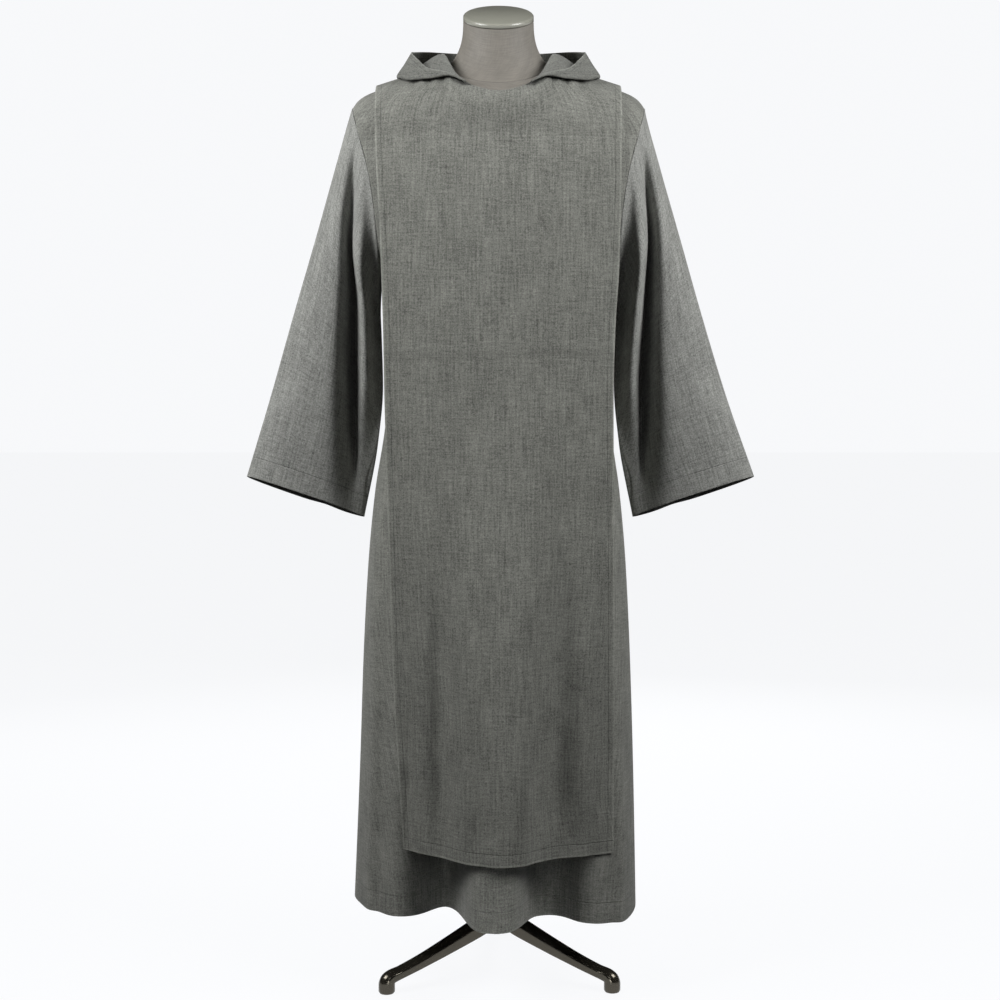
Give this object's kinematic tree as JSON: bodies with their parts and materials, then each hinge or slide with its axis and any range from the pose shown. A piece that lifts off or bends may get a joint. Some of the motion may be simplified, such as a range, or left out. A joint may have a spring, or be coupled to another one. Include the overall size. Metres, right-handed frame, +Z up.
{
  "type": "monk habit on dress form",
  "caption": "Long grey wool monk's habit with wide sleeves, a scapular and its hood laid back, standing on a limbless dress form with a metal tripod base.",
  "frame": {"origin": "on the floor, under the pole of the stand and at the middle of the outline from above", "axes": "+Z up; -Y towards the front; +X towards the side of the right-hand sleeve as seen from the front"},
  "size_m": [0.872, 0.4678, 1.6811],
  "materials": {
    "tunic_wool": "matt grey melange wool",
    "scapular_wool": "matt grey melange wool",
    "form_linen": "plain-woven linen cover",
    "cap_paint": "satin grey paint",
    "stand_metal": "polished dark bronze nickel"
  },
  "bodies": {
    "root": {"tunic_front": "tunic_wool", "tunic_back": "tunic_wool", "sleeve_left": "tunic_wool", "sleeve_right": "tunic_wool", "scapular_front": "scapular_wool", "scapular_back": "scapular_wool", "hood_left": "scapular_wool", "hood_right": "scapular_wool", "dress_form": "form_linen", "neck_cap": "cap_paint", "stand_pole": "stand_metal", "stand_hub": "stand_metal", "stand_leg_left": "stand_metal", "stand_leg_right": "stand_metal", "stand_leg_rear": "stand_metal"}
  },
  "joints": []
}
